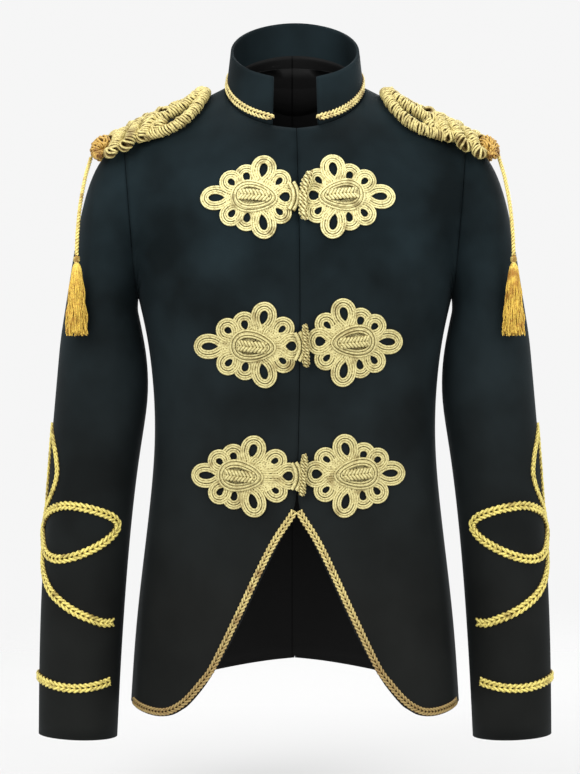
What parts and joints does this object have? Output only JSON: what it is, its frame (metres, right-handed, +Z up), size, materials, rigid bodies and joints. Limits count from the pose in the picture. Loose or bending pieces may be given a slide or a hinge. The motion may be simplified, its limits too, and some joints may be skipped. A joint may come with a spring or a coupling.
{
  "type": "military stage jacket",
  "caption": "Dark stage jacket with a stand collar, cut-away front, gold cord frogs, looped sleeve braid and tasselled epaulettes",
  "frame": {"origin": "on the mid line of the body, under the neck hole, at the height where the collar joins the shoulder seam", "axes": "+X to the viewer's right, the front faces -Y, +Z up"},
  "size_m": [0.567, 0.2488, 0.7934],
  "materials": {
    "velvet": "matt velvet pile",
    "black_lining": "smooth satin weave",
    "pale_gold": "pale metallic thread cord",
    "yellow_gold": "yellow metallic thread cord"
  },
  "bodies": {
    "root": {"front_left": "velvet", "front_right": "velvet", "back_left": "velvet", "back_right": "velvet", "sleeve_left": "velvet", "sleeve_right": "velvet", "collar": "velvet", "back_lining": "black_lining", "collar_braid": "pale_gold", "frog_1_loop": "pale_gold", "frog_1_toggle": "pale_gold", "frog_2_loop": "pale_gold", "frog_2_toggle": "pale_gold", "frog_3_loop": "pale_gold", "frog_3_toggle": "pale_gold", "frog_1_bar": "pale_gold", "frog_2_bar": "pale_gold", "frog_3_bar": "pale_gold", "epaulette_left": "pale_gold", "epaulette_right": "pale_gold", "edge_braid_left": "yellow_gold", "edge_braid_right": "yellow_gold", "sleeve_knot_left": "yellow_gold", "sleeve_knot_right": "yellow_gold", "cuff_band_left": "yellow_gold", "cuff_band_right": "yellow_gold", "tassel_cord_left": "yellow_gold", "tassel_cord_right": "yellow_gold", "tassel_left": "yellow_gold", "tassel_right": "yellow_gold"}
  },
  "joints": []
}
